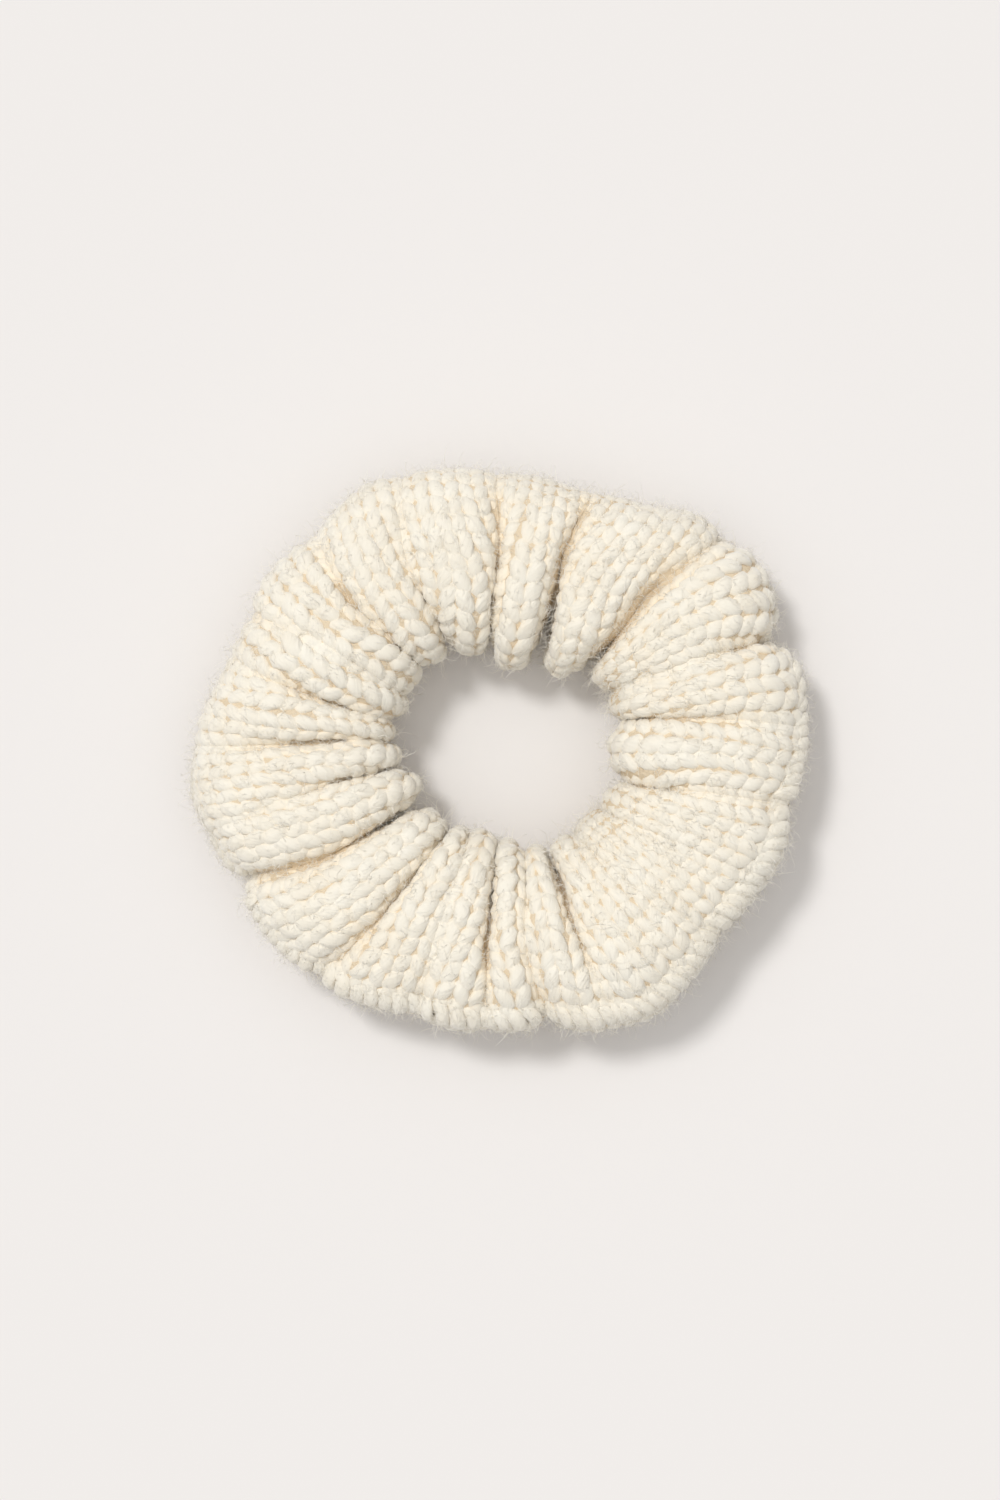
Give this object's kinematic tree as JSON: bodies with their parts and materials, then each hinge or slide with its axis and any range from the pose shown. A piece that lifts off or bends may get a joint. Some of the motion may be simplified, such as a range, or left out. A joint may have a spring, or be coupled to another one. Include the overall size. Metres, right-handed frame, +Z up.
{
  "type": "scrunchie",
  "caption": "Chunky knitted hair scrunchie: a gathered tube of cream stockinette round a loop of flat elastic, lying flat, that stretches open.",
  "frame": {"origin": "centre of the ring's outline, on the surface that it lies on", "axes": "+Z up, out of the surface it lies on; +X along the ring's longest way, from the side that is held to the side that is pulled; +Y across it"},
  "size_m": [0.114, 0.1048, 0.024],
  "materials": {
    "knit_yarn": "soft brushed cream yarn, matt and slightly fuzzy",
    "edge_yarn": "the same cream yarn, linked tight along the rim",
    "elastic": "white woven flat elastic, matt",
    "sewing_thread": "white polyester sewing thread, slight sheen"
  },
  "bodies": {
    "held_side": {"cover_held_side": "knit_yarn", "edge_yarn_held_side": "edge_yarn", "elastic_held_side": "elastic", "elastic_joint_thread": "sewing_thread", "closing_seam_yarn": "knit_yarn"},
    "pulled_side": {"cover_pulled_side": "knit_yarn", "edge_yarn_pulled_side": "edge_yarn", "elastic_pulled_side": "elastic"}
  },
  "joints": [
    {"name": "stretch", "type": "slide", "parent": "held_side", "child": "pulled_side", "axis": [1, 0, 0], "range_m": [0, 0.06], "stiffness_N_per_m": 120}
  ]
}
